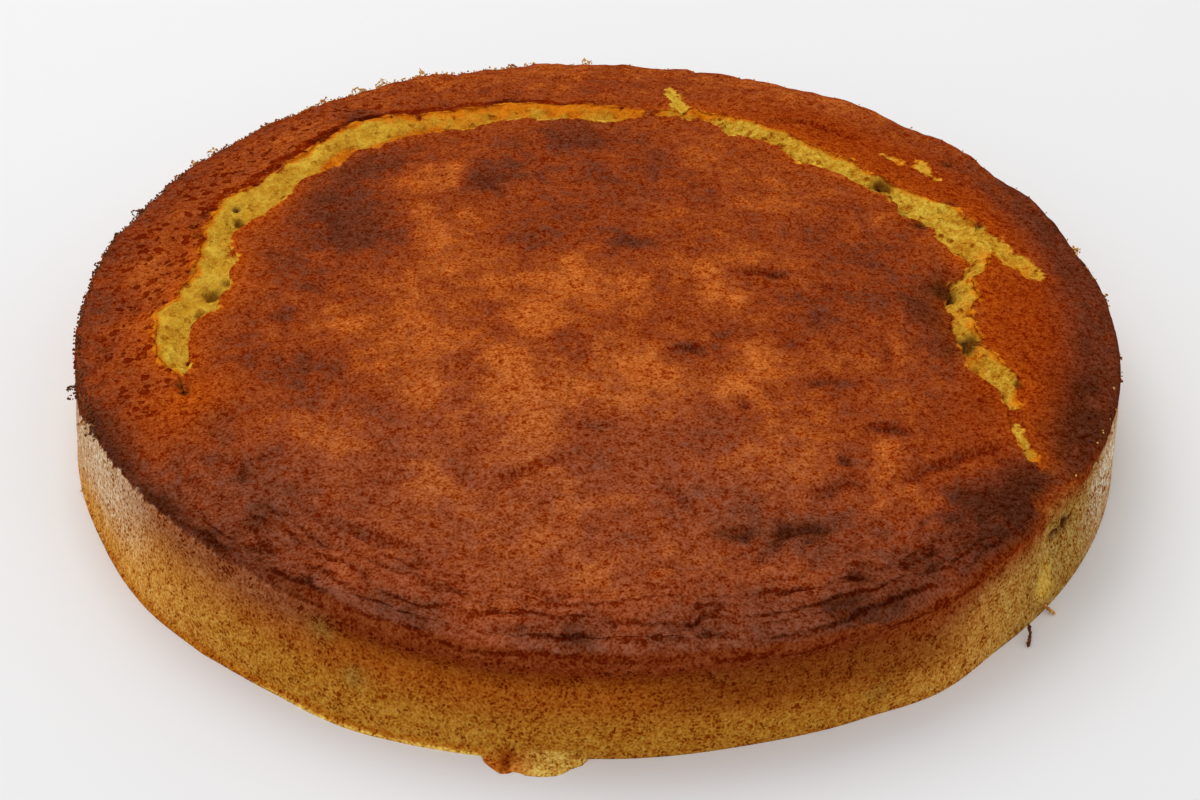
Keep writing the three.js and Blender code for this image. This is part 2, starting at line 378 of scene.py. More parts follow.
def wrinkles(radius, turn):
    """Winding rings of creases, 1 in a valley: where stretched noise passes zero, most at the front rim."""
    x, y = plan(WRINKLE_RADIUS / WRINKLE_LENGTH, turn)
    wander = WRINKLE_WANDER * noise(x, y, radius / WRINKLE_LENGTH, 21)
    field = noise((radius + wander) / WRINKLE_SPACING, x, y, 22)
    reach = smooth(radius, *WRINKLE_REACH) * lerp(WRINKLES_ELSEWHERE, 1, front_share(turn))
    return reach * fading(np.abs(field), 0.0, 0.36)


def puckers(x, y):
    """Puckers of the crown, 1 in a valley: wherever slow noise passes zero, with a wandering depth."""
    field = flat_noise(x + lumps(x, y, PUCKER_WANDER), y, PUCKER_SIZE, 35)
    return fading(np.abs(field), 0.0, 0.4) * (0.5 + 0.5 * flat_noise(x, y, PUCKER_PATCH_SIZE, 36))


def creases_at(x, y):
    """Signed distance from the nearest crease, its depth there, 0 at its ends, and the height of the soft
    folds that rise behind the creases."""
    x = x + flat_noise(x, y, CREASE_WANDER_SIZE, 16)
    y = y + flat_noise(x, y, CREASE_WANDER_SIZE, 17)
    nearest = np.full(np.shape(x), FAR)
    depth = np.zeros(np.shape(x))
    swell = np.zeros(np.shape(x))
    for deep, *points in CREASES:
        for number, (start, end) in enumerate(zip(points, points[1:])):
            distance, share = to_segment(x, y, start + end)
            side = np.sign((end[0] - start[0]) * (y - start[1]) - (end[1] - start[1]) * (x - start[0]))
            faded = deep * np.sqrt(np.sin(np.pi * (number + share) / (len(points) - 1)))
            behind = (side * distance - CREASE_SWELL_OFFSET) / CREASE_SWELL_WIDTH
            swell = np.maximum(swell, faded * np.exp(-(behind**2)))
            depth = np.where(distance < np.abs(nearest), faded, depth)
            nearest = np.where(distance < np.abs(nearest), side * distance, nearest)
    return nearest, depth, CREASE_SWELL * swell


def hollow_depth(x, y):
    """Depth of the small dark hollows: the deepest of the soft spots at each point."""
    return np.maximum.reduce([soft_spot(x, y, row) for row in HOLLOWS])


def sag(radius, turn, inner):
    """How far the crown sags beside the split on the right: deepest at the inner lip."""
    past = radius - inner
    fade = np.where(past > 0, SAG_OUTER_FADE, SAG_INNER_FADE)
    return SAG_DEPTH * np.exp(-((turn_from(turn, SAG_ANGLE) / SAG_HALF_ANGLE) ** 2) - np.abs(past) / fade)


def crust_height(radius, turn):
    """Height of the crust: a full crown, slow swells, small bumps, wrinkles, creases and the split's lips."""
    x, y = plan(radius, turn)
    crown = lerp(CROWN_HEIGHT, RIM_HEIGHT, (radius / RIM_RADIUS) ** CROWN_FULLNESS)
    u = 2 * math.pi * x / SWELL_LENGTH
    v = 2 * math.pi * y / SWELL_LENGTH
    swell = SWELL_HEIGHT * np.sin(u + 0.6 * np.sin(v)) * np.cos(v)
    crease, crease_depth, crease_swell = creases_at(x, y)
    folds = crease_swell - crease_depth * np.exp(-((crease / CREASE_HALF_WIDTH) ** 2)) - hollow_depth(x, y)
    inner, outer, open_share = split_at(turn)[:3]
    away = np.maximum(np.maximum(inner - radius, radius - outer), 0)
    lips = LIP_RISE * open_share * np.exp(-away / LIP_FADE) - sag(radius, turn, inner)
    branch = BRANCH_DEPTH * smooth(branch_bareness(x, y), -0.4, 2.5)
    valleys = WRINKLE_DEPTH * wrinkles(radius, turn) + PUCKER_DEPTH * puckers(x, y) - VALLEY_MEAN
    return crown + swell + lumps(x, y, CRUST_LUMPS) - valleys + lips + folds - branch


def shoulder_foot(turn):
    """Height at which the rounded edge has turned down into the side."""
    drop = shoulder_radius(turn) * math.sin(SHOULDER_START)
    return crust_height(shoulder_start(turn), turn) - drop


def tear_share(height, turn):
    """1 in the middle of the torn patch of the side, fading to 0 at its edges."""
    across = np.abs(turn_from(turn, TEAR_ANGLE)) / TEAR_HALF_ANGLE
    above = smooth(height, TEAR_LOW, TEAR_LOW + TEAR_FADE)
    below = fading(height, TEAR_HIGH - TEAR_FADE, TEAR_HIGH)
    return above * below * fading(across, 0.4, 1)


def leak_share(height, turn):
    """The tongue of leaked batter: blunt-ended and ragged in plan, thin and round-edged in height."""
    x, y = plan(BASE_RADIUS, turn)
    across = np.abs(turn_from(turn, LEAK_ANGLE)) / LEAK_HALF_ANGLE
    tongue = np.sqrt(np.maximum(0, 1 - across**LEAK_BLUNTNESS)) * (1 + lumps(x, y, LEAK_LUMPS))
    return tongue * np.sqrt(np.maximum(0, 1 - (height / LEAK_THICKNESS) ** 2))


def gash_share(height, turn):
    """1 along the gash in the torn patch, fading in about a millimetre."""
    along = turn_from(turn, GASH_ANGLE) * math.radians(RIM_RADIUS)
    distance = to_segment(along, height + 0 * along, GASH)[0]
    return np.exp(-((distance / GASH_HALF_WIDTH) ** 2))


def side_radius(height, turn):
    """Radius of the side: its taper, the wandering foot, the undercut below the lip, pits, tear and leak."""
    top = shoulder_foot(turn)
    foot = BASE_RADIUS + around(FOOT_WANDER, 1, turn)
    below_lip = np.maximum(top - height, 0) / LIP_DROP
    undercut = LIP_OVERHANG * front_share(turn) * math.e * below_lip * np.exp(-below_lip)
    x, y = plan(WALL_RADIUS, turn)
    pits = smooth(wall_lumps(x, y, height, SIDE_PITS), 0.55, 0.85) * fading(height, 8, 22)
    tear = TEAR_DEPTH * tear_share(height, turn) * (TEAR_MEAN + wall_lumps(x, y, height, TEAR_LUMPS))
    sunk = SIDE_PIT_DEPTH * pits + tear + GASH_DEPTH * gash_share(height, turn)
    relief = (wall_lumps(x, y, height, SIDE_LUMPS) - sunk) * smooth(height, 0, 1.5)
    hem = HEM_REACH * fading(height, 0.4, 1.5) * facing(turn, *HEM_LEFT) * (0.8 + lumps(x, y, HEM_LUMPS))
    leak = LEAK_REACH * leak_share(height, turn) + KNOB_BULGE * side_spot(height, turn, KNOB)
    return lerp(foot, RIM_RADIUS, height / top) - undercut + relief + hem + leak


def shares(count):
    """Even shares of the way, from the first step to 1, one to a row."""
    return (np.arange(1, count + 1) / count)[:, None]


def base_zone(turn):
    """The flat base: rings at shares of the foot's radius."""
    foot = side_radius(np.zeros_like(turn), turn)
    radius = BASE_SHARES[:, None] * foot
    return radius, 0 * radius


def side_zone(turn):
    """The side: close rows at the foot, then even rows up to the rounded edge."""
    top = shoulder_foot(turn)
    foot_rows = FOOT_ROWS[:, None] + 0 * turn
    share = shares(SIDE_STEPS)
    height = np.vstack([foot_rows, lerp(FOOT_ROWS[-1], top, share)])
    return side_radius(height, turn), height


def shoulder_zone(turn):
    """The rounded edge: an arc from the side to the crown, frayed where crumbs stuck to the tin."""
    share = shares(SHOULDER_STEPS)
    angle = SHOULDER_START * share
    round_edge = shoulder_radius(turn)
    height = shoulder_foot(turn) + round_edge * np.sin(angle)
    x, y = plan(RIM_RADIUS, turn)
    fray = lerp(*FRAY_DEPTHS, facing(turn, *FRAYED_BACK)) * wall_lumps(x, y, height, FRAY_LUMPS)
    fray = fray * np.sin(np.pi * share)
    tear = TEAR_DEPTH * tear_share(height, turn) * (TEAR_MEAN + wall_lumps(x, y, height, TEAR_LUMPS[:1]))
    return RIM_RADIUS - round_edge * (1 - np.cos(angle)) - tear + fray, height + 0.5 * fray


def ring_zone(turn):
    """The outer ring of crust, from the rounded edge in to the split's outer lip."""
    outer = split_at(turn)[1]
    share = shares(RING_STEPS)
    radius = lerp(shoulder_start(turn), outer, share)
    return radius, crust_height(radius, turn)


def split_zone(turn):
    """Across the split from its outer lip: a step down through the crust, a slope of torn crumb with lumps
    and pores, and a steep wall up to the inner lip. Both lips hang over a little."""
    inner, outer, open_share, width, depth = split_at(turn)
    share = shares(SPLIT_STEPS)
    radius = lerp(outer, inner, share)
    sunk = 0.15 * smooth(share, 0, 0.15) + 0.85 * smooth(share, 0.1, 0.85)
    wall = fading(share, 0.9, 1)
    x, y = plan(radius, turn)
    crumb = lumps(x, y, CRUMB_LUMPS) - CRUMB_PORE_DEPTH * smooth(lumps(x, y, CRUMB_PORES), 0.5, 0.85)
    crumb = crumb * open_share * smooth(share, 0, 0.15) * fading(share, 0.86, 1)
    tuck = np.exp(-(((share - 0.07) / 0.05) ** 2)) - np.exp(-(((share - 0.92) / 0.05) ** 2))
    tuck = tuck * np.minimum(UNDERCUT, 0.1 * width)
    return radius + tuck, crust_height(radius, turn) - depth * sunk * wall + crumb


def crown_zone(turn):
    """The crown, from the split's inner lip to the middle, with its rings closest at the lip."""
    inner = split_at(turn)[0]
    share = shares(CROWN_STEPS)[:-1] ** CROWN_CROWDING
    radius = inner * (1 - share)
    return radius, crust_height(radius, turn)


ring_turn = np.linspace(0, 360, STEPS_ROUND, endpoint=False)[None, :]
side_zones = [zone(ring_turn) for zone in (base_zone, side_zone, shoulder_zone)]
top_zones = [zone(ring_turn) for zone in (ring_zone, split_zone, crown_zone)]
rings_r = np.vstack([zone[0] for zone in side_zones + top_zones])
rings_z = np.vstack([zone[1] for zone in side_zones + top_zones])
rings_turn = ring_turn + 0 * rings_r
rings_x, rings_y = plan(rings_r, rings_turn)
side_rings = sum(zone[0].shape[0] for zone in side_zones)
on_top = (np.arange(len(rings_r)) >= side_rings)[:, None] & np.ones_like(rings_r, bool)
crown_top = crust_height(np.zeros((1, 1)), np.zeros((1, 1)))[0, 0]


def closed_mesh(name, rings, low_pole, high_pole):
    """A closed skin over rings of points, each ring joined to the next and the two ends to their poles."""
    count, steps = rings.shape[:2]
    points = np.vstack([rings.reshape(-1, 3), [(0, 0, low_pole), (0, 0, high_pole)]]) * MM
    index = np.arange(count * steps).reshape(count, steps)
    after = np.roll(index, -1, axis=1)
    quads = np.stack([index[:-1], after[:-1], after[1:], index[1:]], axis=-1).reshape(-1, 4)
    low = np.stack([after[0], index[0], np.full(steps, count * steps)], axis=-1)
    high = np.stack([index[-1], after[-1], np.full(steps, count * steps + 1)], axis=-1)
    mesh = bpy.data.meshes.new(name)
    mesh.from_pydata(points.tolist(), [], quads.tolist() + low.tolist() + high.tolist())
    mesh.polygons.foreach_set("use_smooth", np.ones(len(mesh.polygons), bool))
    mesh.update()
    return mesh


cake_rings = np.stack([rings_x, rings_y, rings_z], axis=-1)
cake_mesh = closed_mesh("chestnut_sponge", cake_rings, 0, crown_top)

# Patches of the crust that browned more: x, y, radius and strength. A few by the split's inner lip on the
# right are painted shade of its hollows.
BROWNED = [
    (-67, 36, 15, 0.8), (-60, 22, 12, 0.6), (-56, 61, 8, 1.0), (-66, 55, 7, 0.8), (-29, 47, 6, 1.0),
    (-81, 7, 7, 0.6), (-19, 18, 9, 0.6), (-70, 43, 7, 0.6), (-10, 35, 14, 0.3), (5, 17, 6, 1.5),
    (-71, -4, 5, 0.6), (-78, -16, 4, 0.8), (-84, -31, 6, 0.6), (-68, -38, 9, 0.7), (-51, -52, 5, 0.7),
    (-86, -55, 6, 1.0), (-31, -36, 6, 0.5), (-6, -27, 7, 0.5), (-2, -61, 6, 0.5), (-6, -68, 7, 0.6),
    (-46, -66, 4, 0.6), (-49, -76, 5, 0.5), (-31, -72, 4, 0.7), (-76, -86, 8, 0.9), (-79, -72, 8, 0.7),
    (-64, -87, 18, 0.6), (-90, -68, 6, 0.8), (-95, -80, 7, 0.6), (-41, -116, 6, 1.2), (-10, -121, 5, 0.9),
    (-3, -123, 5, 1.2), (15, -123, 6, 0.6), (-19, -99, 6, 0.5), (7, -100, 6, 0.5), (4, -75, 5, 0.5),
    (20, -83, 6, 0.7), (33, -90, 7, 1.5), (47, -90, 7, 1.5), (34, -116, 14, 0.8), (20, -116, 7, 0.7),
    (54, -111, 7, 1.4), (66, -98, 14, 0.45), (65, -106, 6, 0.8), (72, -96, 5, 0.7), (58, -87, 5, 0.7),
    (84, -91, 6, 0.5), (87, -80, 8, 0.9), (83, -73, 5, 0.9), (76, -80, 4, 0.6), (98, -76, 8, 1.2),
    (97, -65, 6, 0.4), (108, -60, 7, 0.5), (110, -46, 9, 1.4), (111, -29, 7, 1.6), (106, -21, 6, 0.6),
    (91, -50, 6, 0.5), (94, -42, 5, 1.2), (87, -32, 5, 0.5), (85, -18.5, 6, 1.0), (86, -6, 7, 1.6),
    (92, -28, 6, 0.5), (69, -4, 9, 0.4), (69, -56, 4.5, 0.5), (59, -65, 6, 0.6), (54, -39, 5, 0.6),
    (25, -58, 8, 0.7), (22, -29, 6, 0.8), (29, -21, 6, 0.5), (46, -1, 5, 0.8), (52, -11, 8, 0.5),
    (36, 5, 5, 0.3), (64, 20, 14, 0.5), (85, 9, 5, 0.9), (81, 33, 5, 0.8), (77, 44, 5, 0.4),
    (92, 49, 5, 0.5), (104, 31, 5, 0.8), (9, 50, 12, 0.4), (-27, 57, 9, 0.5), (-41, 39, 7, 0.6),
    (-8, 75, 11, 0.7), (-10, 72, 35, 0.3), (8, 93, 5, 0.4), (19, 103, 6, 0.4), (-66, 88, 6, 1.5),
    (-48, 91, 5, 0.5), (-69, 18, 6, 0.5), (-107, -7, 5, 0.4), (115, -11, 6, 0.4),
]
# Patches that stayed golden.
GOLDEN = [
    (-52, 49, 6, 0.8), (-48, 33, 6, 0.4), (-42, 24, 9, 0.8), (-36, 10, 9, 0.6), (-9, 4, 10, 0.9),
    (-22, 0, 8, 0.6), (-112, 13, 9, 0.4), (-15, -15, 7, 1.0), (-18, -32, 7, 0.8), (-20, -38, 6, 0.8),
    (-19, -49, 8, 0.8), (-5, -46, 7, 1.0), (-14, -60, 7, 0.9), (-41, -46, 8, 0.8), (-62, -18, 6, 0.8),
    (-43, -26, 9, 0.9), (-44, -11, 8, 0.4), (-56, -35, 5, 0.5), (-66, -63, 7, 0.8), (-56, -71, 7, 0.9),
    (-37, -77, 7, 1.0), (-58, -86, 5, 0.4), (-26, -92, 7, 0.6), (-12, -95, 8, 0.7), (-20, -106, 9, 0.6),
    (2, -104, 9, 0.6), (22, -106, 8, 0.6), (-56, -102, 4, 0.6), (0, -84, 7, 0.6), (11, -36, 6, 0.9),
    (12, -48, 8, 0.9), (17, -39, 5, 0.8), (20, -20, 5, 0.5), (42, -29, 5, 0.8), (39, -34, 4, 1.0),
    (33, -43, 5, 1.0), (31, -5, 7, 0.8), (6, -2, 8, 0.5), (37, -65, 7, 0.8), (50, -74, 5, 0.6),
    (68, -62, 4, 1.0), (68, -73, 5, 0.7), (47, -101, 5, 0.5), (24, 65, 5, 0.6), (25, 5, 6, 0.9),
    (36, 12, 7, 0.5), (-7, -12, 7, 0.4), (44, 50, 10, 0.4), (46, 39, 8, 0.4), (29, -99, 5, 0.5),
    (1, -110, 6, 0.4), (17, -101, 6, 0.4), (-46, -91, 5, 0.5), (42, -75, 5, 0.5), (52, -62, 5, 0.5),
    (40, -103, 5, 0.4), (-14, -71, 6, 0.8), (50, -37, 6, 0.4), (5, -30, 7, 0.5), (65, -30, 8, 0.3),
    (-42, 47, 8, 0.6), (100, 19, 5, 0.8), (122, 6, 5, 0.4), (-28, -114, 5, 0.3), (60, 90, 5, 0.4),
    (-76, -98, 5, 0.4), (83, -81, 3.5, 0.6), (-15, 104, 6, 0.4),
]
PATCH_CONTRAST = 1.12
PATCH_WANDER_X = ((3.0, 8, 71), (1.6, 3, 72))
PATCH_WANDER_Y = ((3.0, 8, 73), (1.6, 3, 74))
LEFT_RIM = (175, 0.3, 0.85)
RIGHT_RIM = (352, 0.6, 0.9)
BACK_RIM = (95, 0.5, 0.85)
LEFT_EDGE = (222, 0.88, 0.96)


def crust_darkness(radius, turn):
    """How brown the crust is, 0 at its middle tone: patches with wandering outlines, and a darker rim."""
    x, y = plan(radius, turn)
    place = x + lumps(x, y, PATCH_WANDER_X), y + lumps(x, y, PATCH_WANDER_Y)
    patches = sum(soft_spot(*place, row) for row in BROWNED) - sum(soft_spot(*place, row) for row in GOLDEN)
    left = 0.6 * facing(turn, *LEFT_RIM) * smooth(radius, 116, 127)
    right = 1.2 * facing(turn, *RIGHT_RIM) * smooth(radius, 107, 121)
    front = 0.4 * front_share(turn) * smooth(radius, 118, 127)
    back = 0.35 * facing(turn, *BACK_RIM) * smooth(radius, 106, 120)
    return PATCH_CONTRAST * patches + np.maximum(np.maximum(left, right), front) - back


def climb(radius, height, turn):
    """Length of the way up the side, over the rounded edge and in across the top, in millimetres."""
    foot = shoulder_foot(turn)
    lean = np.clip((height - foot) / shoulder_radius(turn), 0, math.sin(SHOULDER_START))
    over = shoulder_radius(turn) * np.where(on_top, SHOULDER_START, np.arcsin(lean))
    across = np.where(on_top, shoulder_start(turn) - radius, 0)
    return np.minimum(height, foot) + over + np.maximum(across, 0)


def put_attribute(name, rings, low_pole=0, high_pole=0):
    """A number for each point of the cake's skin, ring by ring, then for its two poles."""
    values = np.concatenate([rings.ravel(), [low_pole, high_pole]]).astype(np.float32)
    cake_mesh.attributes.new(name, "FLOAT", "POINT").data.foreach_set("value", values)


inner, outer, open_share = split_at(ring_turn)[:3]
past_outer = rings_r - outer
past_inner = inner - rings_r

# Millimetres inside the split or a branch of it, negative on the crust and where the split is closed.
CRUMB_MARGIN = 0.6
CLOSED_COVER = 14
in_split = np.minimum(CRUMB_MARGIN - past_outer, -past_inner) - CLOSED_COVER * (1 - open_share)
in_branch = branch_bareness(rings_x, rings_y)
bare = np.where(on_top, np.maximum(in_split, in_branch), -FAR)
put_attribute("bare", bare, -FAR, -FAR)

# Millimetres below the crust's lower edge, negative on the crust, and how sharp that edge is.
fall = around(CRUST_EDGE, 1, rings_turn) - climb(rings_r, rings_z, rings_turn)
put_attribute("fall", fall, FAR, -FAR)
put_attribute("sharpness", around(EDGE_SHARPNESS, 1, rings_turn), 1, 1)

# How dark the crust is: how brown it baked, plus painted shade in the sag by the split and in the valleys,
# and on its browner left edge.
SAG_SHADE = 2.0
EDGE_BROWN_AND_SHADE = 1.1
VALLEY_SHADE = 0.3
sag_shade = SAG_SHADE * sag(rings_r, rings_turn, inner) / SAG_DEPTH
edge_brown_and_shade = EDGE_BROWN_AND_SHADE * facing(rings_turn, *LEFT_EDGE) * smooth(fall, -9, -2)
valleys = wrinkles(rings_r, rings_turn) + puckers(rings_x, rings_y) - VALLEY_MEAN
brown = crust_darkness(rings_r, rings_turn) + sag_shade + edge_brown_and_shade + VALLEY_SHADE * valleys * on_top
put_attribute("crust_darkness", brown, 0, -0.3)

# Millimetres from the nearest crease, as far as they matter, and how deep it is, which sets the painted shade
# along it.
NEAR = 9
crease, crease_depth = creases_at(rings_x, rings_y)[:2]
put_attribute("crease", np.where(on_top, np.clip(crease, -NEAR, NEAR), NEAR), NEAR, NEAR)
put_attribute("crease_depth", crease_depth * on_top)

# Painted shade in the small hollows.
put_attribute("hollow_shade", np.clip(hollow_depth(rings_x, rings_y), 0, 1) * on_top)

# Orange crust beside the split: wide outside it and at its left end, thin along the rest of the inner lip,
# and on the crust's edge above the torn patch.
BURNT_BACK = (128, 0.72, 0.9)
LEFT_LIP = (180, 0.75, 0.97)
RIGHT_LIP = (20, 0.6, 0.8)
LEFT_END = (-96, -47, 12, 0.8)
RIGHT_BRIDGE = (92, 20, 6, 1.0)
SCORCHED_EDGE = (320, 0.93, 0.98)
outside = np.exp(-np.maximum(past_outer, 0) / 5.0) * (1 - 0.9 * facing(ring_turn, *BURNT_BACK))
inside_share = np.maximum(facing(ring_turn, *LEFT_LIP), 0.5 * facing(ring_turn, *RIGHT_LIP))
inside = np.exp(-np.maximum(past_inner, 0) / 4.0) * lerp(0.25, 1, inside_share)
singed = np.where(rings_r > outer, outside, inside) * open_share
for row in (LEFT_END, RIGHT_BRIDGE):
    singed = np.maximum(singed, soft_spot(rings_x, rings_y, row))
scorched = 0.5 * facing(rings_turn, *SCORCHED_EDGE) * smooth(fall, -6, -0.5)
put_attribute("singed", np.maximum(singed * on_top, scorched))

# Red crust outside the split on the right.
RED_RING = (18, 0.45, 0.85)
reddened = facing(rings_turn, *RED_RING) * smooth(rings_r, 90, 97) * fading(rings_r, 108, 122)
put_attribute("reddened", reddened * on_top)

# Millimetres outside the split, and where its outer lip is burnt and painted with the shade of its overhang:
# at the back and left.
SEARED_SHADOWED_LIP = (126, 0.74, 0.9)
put_attribute("beyond", np.where(on_top, np.clip(past_outer, -NEAR, NEAR), NEAR), NEAR, -NEAR)
put_attribute("seared_and_shadowed", open_share * facing(rings_turn, *SEARED_SHADOWED_LIP) * on_top)

# Orange crumb below the outer lip, deepest at the back, in a patch below the inner lip at the back left, and
# a little on the right.
TOAST_REACHES = (1.8, 13.0)
TOASTED_BACK = (98, 0.85, 0.95)
TOASTED_LEFT = (130, 0.961, 0.985)
TOASTED_RIGHT = (350, 0.82, 0.95)
toast_reach = lerp(*TOAST_REACHES, facing(ring_turn, *TOASTED_BACK))
toast = np.where(in_branch > in_split, 0.2, np.clip(1 + past_outer / toast_reach, 0, 1))
toast = np.maximum(toast, facing(ring_turn, *TOASTED_LEFT) * fading(-past_inner, 3.5, 8))
toast = np.maximum(toast, 0.45 * facing(rings_turn, *TOASTED_RIGHT))
put_attribute("toast", toast * on_top)

# How lumpy bare crumb looks: less at the left of the split and in the crumbling spot of the side.
LUMPY_RIGHT = (10, 0.0, 0.7)
split_lumps = lerp(0.65, 1.0, facing(rings_turn, *LUMPY_RIGHT))
side_lumps = 1 - 0.6 * side_spot(rings_z, rings_turn, CRUMBLE)
put_attribute("crumbly", np.where(on_top, split_lumps, side_lumps), 1, 1)

# Where the crust's lower edge curls under at the front, a browner band with painted shade and a painted
# highlight above it, and where the crust is wrinkled, tanned or pitted.
CURLED_FRONT = (275, 0.72, 0.9)
TANNED_FRONT = (262, 0.55, 0.85)
PITTED_LEFT = (162, 0.55, 0.88)
put_attribute("curled", facing(rings_turn, *CURLED_FRONT))
wrinkled = smooth(fall, -26, -12) * lerp(WRINKLES_ELSEWHERE, 1, front_share(rings_turn))
put_attribute("wrinkled", wrinkled)
tanned = np.where(on_top, smooth(-rings_y, 15, 85), 1) * facing(rings_turn, *TANNED_FRONT)
put_attribute("tanned", tanned)
pitted = facing(rings_turn, *PITTED_LEFT) * smooth(rings_r, 98, 104) * fading(rings_r, 118, 125)
put_attribute("pitted", pitted * on_top)

# Where the side is torn.
put_attribute("torn", np.where(on_top, 0, tear_share(rings_z, rings_turn)))


def linear(red, green, blue):
    """A colour picked as 0 to 255 screen values, turned into the linear values that shaders use."""
    levels = [v / 255 for v in (red, green, blue)]
    return tuple(v / 12.92 if v <= 0.04045 else ((v + 0.055) / 1.055) ** 2.4 for v in levels)


def blend(first, second, share):
    """Colours part of the way from the first to the second, by a share from 0 to 1 at each point."""
    share = np.clip(share, 0, 1)[..., None]
    return np.asarray(first) * (1 - share) + np.asarray(second) * share


# Painted shadow under the crust's lip at the front.
UNDER_LIP_SHADOW = linear(118, 46, 14)
FRONT_HIGH = linear(118, 49, 10)
FRONT_MID = linear(157, 80, 17)
FRONT_LOW = linear(174, 111, 31)
# Painted shadow on the upper front right of the side.
FRONT_SHADOW = linear(118, 56, 14)
ROUND_HIGH = linear(166, 102, 50)
ROUND_MID = linear(192, 124, 48)
ROUND_LOW = linear(206, 138, 54)
DUSTY = linear(150, 86, 46)
FLOURY = linear(208, 170, 124)
TORN_YELLOW = linear(172, 124, 52)
TORN_BEIGE = linear(194, 150, 98)
TORN_PALE = linear(226, 200, 158)
GASH_BROWN = linear(96, 52, 18)
CRUMBLE_YELLOW = linear(214, 164, 66)
OLIVE = linear(132, 96, 36)
HEM_ORANGE = linear(178, 98, 14)
HEM_GOLD = linear(226, 172, 66)
SCORCHED = linear(142, 62, 18)
LEAK_BROWN = linear(194, 104, 28)
LEAK_GOLD = linear(218, 168, 70)
LEAK_DARK = linear(140, 62, 8)

BAKED_FRONT = (267, 0.6, 0.92)
SHADOWED_FRONT = (293, 0.94, 0.99)
DUSTY_LEFT = (226, 0.94, 0.99)
FLOURY_LEFT = (196, 0.9, 0.99)
PALE_RIGHT = (351, 0.95, 0.99)
SCORCHED_RIGHT = (317, 0.94, 0.98)
HEMMED_LEFT = (235, 0.82, 0.9)
GOLDEN_HEM = (250, 0.96, 0.985)


def side_layers(height, turn, fall):
    """What lies over the plain side, lowest first: each layer a colour and a share from 0 to 1."""
    past_tear = turn_from(turn, TEAR_ANGLE)
    torn = smooth(past_tear, -28, -8) * fading(turn_from(turn, 0), -6, 30)
    torn_tone = blend(TORN_YELLOW, TORN_BEIGE, smooth(past_tear, -4, 10))
    pale = facing(turn, *PALE_RIGHT) * smooth(fall, 3, 9) * fading(fall, 14, 22)
    torn_tone = blend(torn_tone, TORN_PALE, 0.6 * pale)
    leak_tone = blend(LEAK_BROWN, LEAK_GOLD, smooth(turn_from(turn, LEAK_ANGLE), -2.5, 1.5))
    leak = leak_share(np.minimum(height, LEAK_THICKNESS - 0.1), turn) * fading(height, 1.3, 3.5)
    hem = facing(turn, *HEMMED_LEFT) * fading(leak, 0, 0.3)
    return [
        # Painted shadow on the upper front right.
        (FRONT_SHADOW, 0.7 * facing(turn, *SHADOWED_FRONT) * fading(fall, 8, 17)),
        # Painted shadow under the crust's lip at the front.
        (UNDER_LIP_SHADOW, 0.8 * front_share(turn) * fading(fall, 0.5, 3.5)),
        (DUSTY, 0.6 * facing(turn, *DUSTY_LEFT) * fading(fall, 2, 15)),
        (FLOURY, 0.9 * facing(turn, *FLOURY_LEFT) * fading(fall, 9, 24)),
        (torn_tone, torn),
        (SCORCHED, 0.7 * facing(turn, *SCORCHED_RIGHT) * fading(fall, 0.5, 8.0)),
        *((OLIVE, 0.55 * side_spot(height, turn, row)) for row in BLOTCHES),
        (CRUMBLE_YELLOW, smooth(side_spot(height, turn, CRUMBLE), 0.1, 0.7)),
        (GASH_BROWN, smooth(gash_share(height, turn), 0.15, 0.5)),
        (leak_tone, smooth(leak, 0.1, 0.5)),
        (LEAK_DARK, smooth(side_spot(height, turn, KNOB), 0.2, 0.7)),
        (HEM_ORANGE, 0.75 * hem * fading(height, 0.8, 2.8)),
        (HEM_GOLD, hem * facing(turn, *GOLDEN_HEM) * fading(height, 0.4, 1.1)),
    ]


def side_tone(height, turn, fall):
    """Colour of the side: golden, browner at the front and lighter towards the foot, under its layers."""
    baked = facing(turn, *BAKED_FRONT)
    tone = blend(ROUND_HIGH, FRONT_HIGH, baked)
    tone = blend(tone, blend(ROUND_MID, FRONT_MID, baked), smooth(fall, 1, 9))
    tone = blend(tone, blend(ROUND_LOW, FRONT_LOW, baked), smooth(fall, 8, 20))
    for colour, share in side_layers(height, turn, fall):
        tone = blend(tone, colour, share)
    return tone


side_tones = side_tone(rings_z, rings_turn, fall).reshape(-1, 3)
side_tones = np.vstack([side_tones, [FRONT_LOW] * 2])
side_tones = np.hstack([side_tones, np.ones((len(side_tones), 1))])
cake_mesh.attributes.new("side_tone", "FLOAT_COLOR", "POINT").data.foreach_set("color", side_tones.ravel())

# A place that follows the rings of wrinkles: stretched along the ring and close across it, in metres.
WRINKLE_STRETCH = 0.22
lay_x, lay_y = plan(WRINKLE_RADIUS * WRINKLE_STRETCH, rings_turn)
lay_z = np.where(on_top, rings_r, RIM_RADIUS + RIM_HEIGHT - rings_z)
lay = np.stack([lay_x, lay_y, lay_z], axis=-1)
lay = np.vstack([lay.reshape(-1, 3), np.zeros((2, 3))]) * MM
cake_mesh.attributes.new("lay", "FLOAT_VECTOR", "POINT").data.foreach_set("vector", lay.ravel())


def add_object(name, data):
    """A new object in the scene, at the origin."""
    made = bpy.data.objects.new(name, data)
    bpy.context.scene.collection.objects.link(made)
    return made


cake = add_object("chestnut_sponge", cake_mesh)


